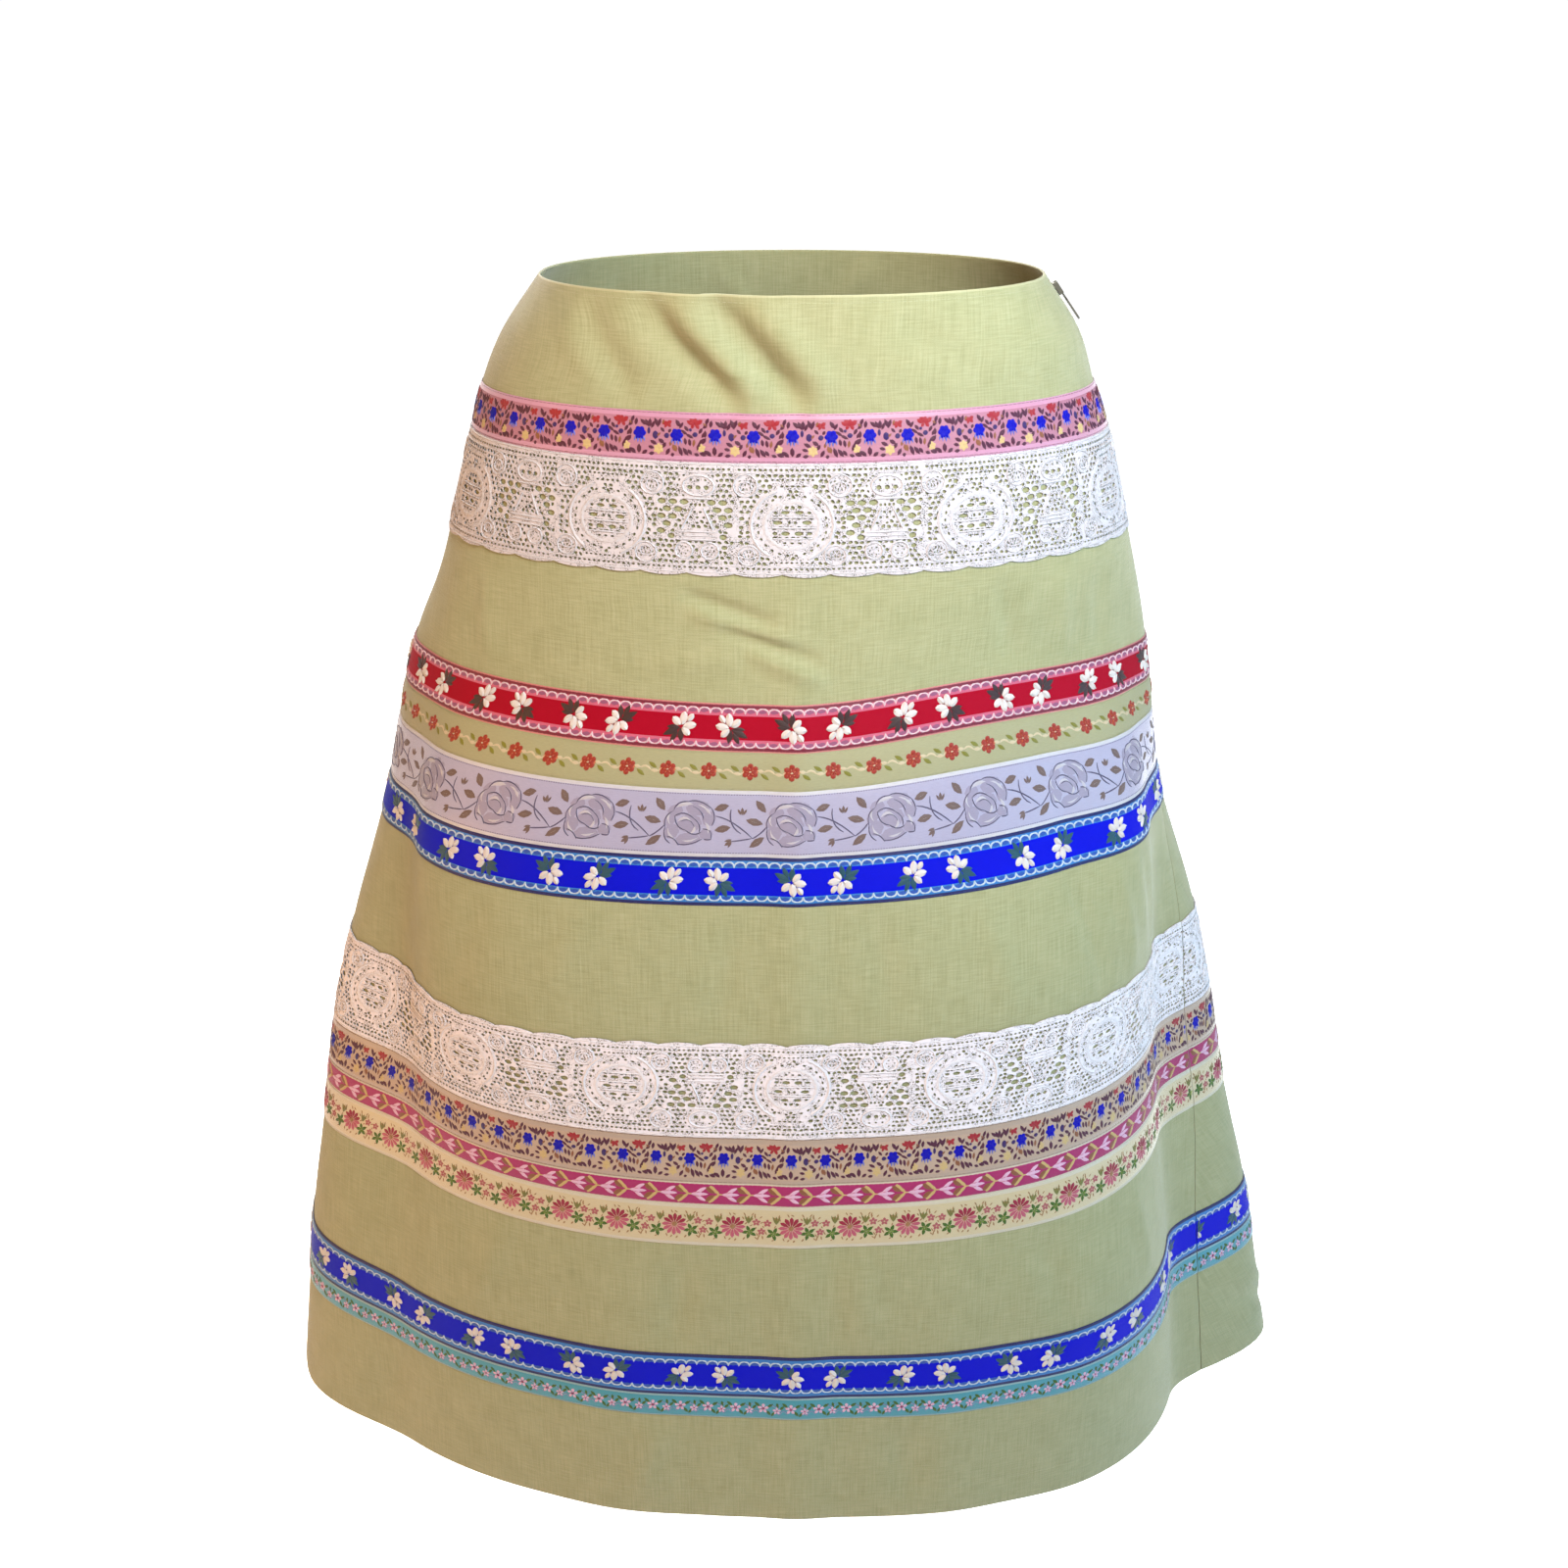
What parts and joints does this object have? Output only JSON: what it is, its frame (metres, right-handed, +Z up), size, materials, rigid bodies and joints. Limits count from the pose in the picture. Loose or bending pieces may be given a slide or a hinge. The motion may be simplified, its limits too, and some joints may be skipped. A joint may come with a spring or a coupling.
{
  "type": "a-line skirt",
  "caption": "Knee-length a-line skirt in worn hollow form, plain slub cloth with level bands of woven ribbon, braid and lace, and a concealed side zip with a pull tab that swings.",
  "frame": {"origin": "middle of the waist opening, level with its rim, where the wearer's waist holds the skirt", "axes": "+Z up out of the waist, -Y the centre front, +X the wearer's left side"},
  "size_m": [0.7386, 0.4556, 0.7753],
  "materials": {
    "linen": "matte slub linen, sage green",
    "ribbon_pink": "woven floral ribbon with pink satin edges",
    "lace": "white cotton bobbin lace",
    "ribbon_red": "woven crimson ribbon with raised white flowers",
    "braid_sage": "sage tape with an orange flower braid",
    "ribbon_rose": "lilac and silver rose jacquard ribbon with a satin sheen",
    "ribbon_blue": "woven royal-blue ribbon with raised white flowers",
    "ribbon_beige": "woven floral ribbon on beige",
    "ribbon_magenta": "narrow woven magenta ribbon with tulips",
    "ribbon_gold": "cream-gold woven ribbon with daisies and a satin sheen",
    "ribbon_turquoise": "narrow turquoise floral brocade ribbon",
    "zip_tape": "woven zip tape, dyed to match",
    "zip_metal": "dull plated metal"
  },
  "bodies": {
    "skirt": {"front_panel": "linen", "back_panel": "linen", "ribbon_pink_front": "ribbon_pink", "ribbon_pink_back": "ribbon_pink", "lace_upper_front": "lace", "lace_upper_back": "lace", "ribbon_red_front": "ribbon_red", "ribbon_red_back": "ribbon_red", "braid_sage_front": "braid_sage", "braid_sage_back": "braid_sage", "ribbon_rose_front": "ribbon_rose", "ribbon_rose_back": "ribbon_rose", "ribbon_blue_upper_front": "ribbon_blue", "ribbon_blue_upper_back": "ribbon_blue", "lace_lower_front": "lace", "lace_lower_back": "lace", "ribbon_beige_front": "ribbon_beige", "ribbon_beige_back": "ribbon_beige", "ribbon_magenta_front": "ribbon_magenta", "ribbon_magenta_back": "ribbon_magenta", "ribbon_gold_front": "ribbon_gold", "ribbon_gold_back": "ribbon_gold", "ribbon_blue_lower_front": "ribbon_blue", "ribbon_blue_lower_back": "ribbon_blue", "ribbon_turquoise_front": "ribbon_turquoise", "ribbon_turquoise_back": "ribbon_turquoise", "zip_tape": "zip_tape", "zip_slider": "zip_metal"},
    "pull": {"zip_pull": "zip_metal"}
  },
  "joints": [
    {"name": "pull_hinge", "type": "hinge", "parent": "skirt", "child": "pull", "pos_m": [0.15684, -0.00013, -0.01153], "axis": [-0.0001, -1, 0.0005], "range_deg": [0, 150]}
  ]
}
